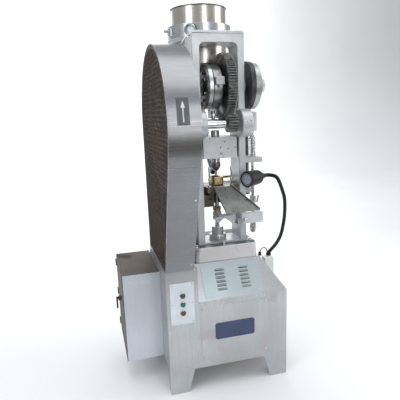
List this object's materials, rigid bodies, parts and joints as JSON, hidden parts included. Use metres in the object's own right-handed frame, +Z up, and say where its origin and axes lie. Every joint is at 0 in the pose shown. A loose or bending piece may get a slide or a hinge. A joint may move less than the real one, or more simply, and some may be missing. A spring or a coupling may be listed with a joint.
{
  "type": "tablet press",
  "caption": "Single-punch tablet press on a sheet-steel cabinet: open frame with eccentric, gears and punches, belt guard, hopper, chute and gooseneck work lamp.",
  "frame": {"origin": "middle of the footprint's bounding box, on the floor", "axes": "+Z up, +Y from the front of the machine to its back, +X to the right seen from the front"},
  "size_m": [0.886, 0.8316, 1.834],
  "materials": {
    "stainless_sheet": "brushed, worn by hands",
    "polished_steel": "polished",
    "silver_paint": "satin silver",
    "white_paint": "satin, chipped",
    "dark_steel": "oiled",
    "bright_steel": "ground",
    "cast_grey": "machined casting",
    "punch_steel": "heat-tinted",
    "grille_steel": "dull expanded mesh",
    "belt_rubber": "dusty",
    "black_plastic": "fine grain",
    "brass": "worn",
    "plate_enamel": "satin enamel, blank",
    "motor_paint": "satin",
    "button_dark": "moulded",
    "button_green": "moulded",
    "button_red": "moulded"
  },
  "bodies": {
    "machine": {"cabinet_shell": "stainless_sheet", "console_cover": "stainless_sheet", "front_panel": "stainless_sheet", "blank_nameplate": "plate_enamel", "button_panel": "white_paint", "motor_box": "stainless_sheet", "motor_stator": "motor_paint", "guard_band": "stainless_sheet", "guard_grille": "grille_steel", "guard_back_plate": "stainless_sheet", "left_drive_belt": "belt_rubber", "right_drive_belt": "belt_rubber", "plinth": "silver_paint", "press_frame": "silver_paint", "guide_block": "white_paint", "die_table": "cast_grey", "die": "bright_steel", "discharge_chute": "cast_grey", "rod_bracket": "silver_paint", "lever_bracket": "silver_paint", "punch_base_nut": "cast_grey", "feeder_bearing": "silver_paint", "hopper": "polished_steel", "hopper_collar": "stainless_sheet", "hopper_bracket": "silver_paint", "sight_port": "bright_steel", "hopper_clamp": "bright_steel", "feed_tube": "stainless_sheet", "lamp_socket": "white_paint"},
    "main_shaft": {"main_shaft": "bright_steel", "flange_disc": "dark_steel", "eccentric": "dark_steel", "big_gear": "dark_steel", "feeder_cam": "dark_steel", "lift_cam": "cast_grey", "shaft_end_nut": "bright_steel"},
    "strap_rod": {"eccentric_strap": "cast_grey", "strap_rod_screw": "bright_steel"},
    "ram": {"ram": "bright_steel", "upper_punch_nut": "punch_steel", "upper_punch": "bright_steel"},
    "pinion_shaft": {"pinion_shaft": "bright_steel", "pinion": "dark_steel", "flywheel": "cast_grey"},
    "motor_rotor": {"motor_pulley": "cast_grey"},
    "ejector_rod": {"lift_rod": "bright_steel", "lift_yoke": "white_paint", "lift_spring": "bright_steel"},
    "cam_roller": {"lift_roller": "bright_steel"},
    "ejector_lever": {"ejector_lever": "white_paint"},
    "lower_punch": {"lower_punch": "bright_steel"},
    "feeder": {"feeder_shaft": "dark_steel", "feed_shoe": "brass"},
    "upper_button": {"upper_button": "button_dark"},
    "middle_button": {"middle_button": "button_green"},
    "lower_button": {"lower_button": "button_red"},
    "motor_box_door": {"motor_box_door": "stainless_sheet"},
    "door_latch": {"door_latch": "bright_steel"},
    "lamp_arm": {"gooseneck": "black_plastic", "lamp_head": "black_plastic"}
  },
  "joints": [
    {"name": "pinion_shaft_turn", "type": "hinge", "parent": "machine", "child": "pinion_shaft", "pos_m": [0.0795, -0.0672, 1.27087], "axis": [1, 0, 0], "continuous": true},
    {"name": "main_shaft_turn", "type": "hinge", "parent": "machine", "child": "main_shaft", "pos_m": [0.0795, 0.0128, 1.441], "axis": [1, 0, 0], "continuous": true},
    {"name": "motor_turn", "type": "hinge", "parent": "machine", "child": "motor_rotor", "pos_m": [-0.2325, 0.0828, 0.36], "axis": [1, 0, 0], "continuous": true},
    {"name": "strap_turn", "type": "hinge", "parent": "main_shaft", "child": "strap_rod", "pos_m": [0.0795, 0.0348, 1.441], "axis": [1, 0, 0], "continuous": true},
    {"name": "cam_roller_turn", "type": "hinge", "parent": "ejector_rod", "child": "cam_roller", "pos_m": [0.2645, 0.0128, 1.304], "axis": [1, 0, 0], "continuous": true},
    {"name": "ram_slide", "type": "slide", "parent": "machine", "child": "ram", "axis": [0, 0, 1], "range_m": [-0.022, 0.022]},
    {"name": "ejector_rod_slide", "type": "slide", "parent": "machine", "child": "ejector_rod", "axis": [0, 0, 1], "range_m": [-0.009, 0], "stiffness_N_per_m": 2500, "springref_m": 0.012, "deforming": ["lift_spring"]},
    {"name": "ejector_lever_tilt", "type": "hinge", "parent": "machine", "child": "ejector_lever", "pos_m": [0.1985, 0.0128, 0.8], "axis": [0, 1, 0], "range_deg": [0, 7]},
    {"name": "lower_punch_slide", "type": "slide", "parent": "machine", "child": "lower_punch", "axis": [0, 0, 1], "range_m": [0, 0.0145]},
    {"name": "feeder_swing", "type": "hinge", "parent": "machine", "child": "feeder", "pos_m": [0.2725, 0.0878, 1.1], "axis": [0, 0, 1], "range_deg": [-5, 5]},
    {"name": "upper_button_press", "type": "slide", "parent": "machine", "child": "upper_button", "axis": [0, 1, 0], "range_m": [0, 0.004], "stiffness_N_per_m": 400},
    {"name": "middle_button_press", "type": "slide", "parent": "machine", "child": "middle_button", "axis": [0, 1, 0], "range_m": [0, 0.004], "stiffness_N_per_m": 400},
    {"name": "lower_button_press", "type": "slide", "parent": "machine", "child": "lower_button", "axis": [0, 1, 0], "range_m": [0, 0.004], "stiffness_N_per_m": 400},
    {"name": "door_hinge", "type": "hinge", "parent": "machine", "child": "motor_box_door", "pos_m": [-0.419, 0.3358, 0.34], "axis": [0, 0, 1], "range_deg": [-100, 0]},
    {"name": "latch_turn", "type": "hinge", "parent": "motor_box_door", "child": "door_latch", "pos_m": [-0.4225, 0.1528, 0.385], "axis": [1, 0, 0], "range_deg": [0, 90]},
    {"name": "lamp_swivel", "type": "hinge", "parent": "machine", "child": "lamp_arm", "pos_m": [0.3455, -0.0172, 0.582], "axis": [0, 0, 1], "range_deg": [0, 70]}
  ],
  "couplings": [
    {"joint": "main_shaft_turn", "follows": "pinion_shaft_turn", "ratio": -0.25333},
    {"joint": "strap_turn", "follows": "pinion_shaft_turn", "ratio": 0.25333},
    {"joint": "motor_turn", "follows": "pinion_shaft_turn", "ratio": 5.2456},
    {"joint": "cam_roller_turn", "follows": "pinion_shaft_turn", "ratio": 1.5341},
    {"joint": "ejector_lever_tilt", "follows": "ejector_rod_slide", "rad_per_m": -13.514},
    {"joint": "lower_punch_slide", "follows": "ejector_rod_slide", "ratio": -1.6081}
  ]
}
